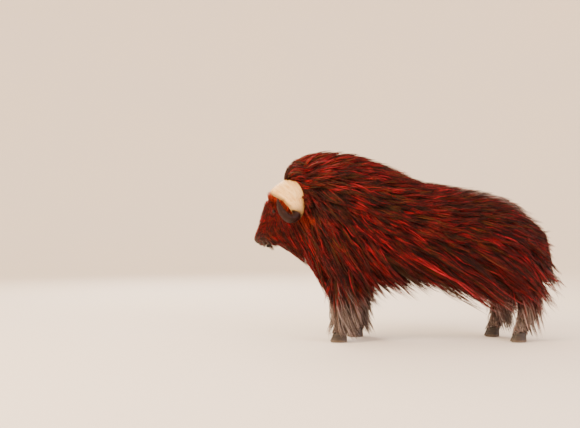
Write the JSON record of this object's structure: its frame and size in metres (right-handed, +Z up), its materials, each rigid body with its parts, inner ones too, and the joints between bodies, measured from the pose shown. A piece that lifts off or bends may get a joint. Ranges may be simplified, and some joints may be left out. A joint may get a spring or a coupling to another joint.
{
  "type": "muskox",
  "caption": "Life-size still muskox on a slow walk, head low, horns swept down and up, long shaggy coat blown back along the body.",
  "frame": {"origin": "centre of the bottom of the bounding box, on the floor between the hooves", "axes": "+Z up, nose along -X, the animal's left side at -Y"},
  "size_m": [2.3209, 0.791, 1.4596],
  "materials": {
    "coat": "long guard hair, dark brown with deep red locks, soft sheen",
    "face": "short close hair, dark brown red",
    "stocking": "short pale grey-brown hair",
    "horn": "horn, cream boss with fine lengthwise grain, dark tip",
    "hoof": "dark worn horn",
    "eye": "wet gloss"
  },
  "bodies": {
    "root": {"head": "face", "eye_left": "eye", "eye_right": "eye", "horn_left": "horn", "horn_right": "horn", "ear_left": "face", "ear_right": "face", "neck": "coat", "torso": "coat", "foreleg_left_upper": "coat", "foreleg_left_lower": "stocking", "foreleg_left_hoof_outer": "hoof", "foreleg_left_hoof_inner": "hoof", "foreleg_right_upper": "coat", "foreleg_right_lower": "stocking", "foreleg_right_hoof_outer": "hoof", "foreleg_right_hoof_inner": "hoof", "hindleg_left_upper": "coat", "hindleg_left_lower": "stocking", "hindleg_left_hoof_outer": "hoof", "hindleg_left_hoof_inner": "hoof", "hindleg_right_upper": "coat", "hindleg_right_lower": "stocking", "hindleg_right_hoof_outer": "hoof", "hindleg_right_hoof_inner": "hoof", "tail": "coat"}
  },
  "joints": []
}
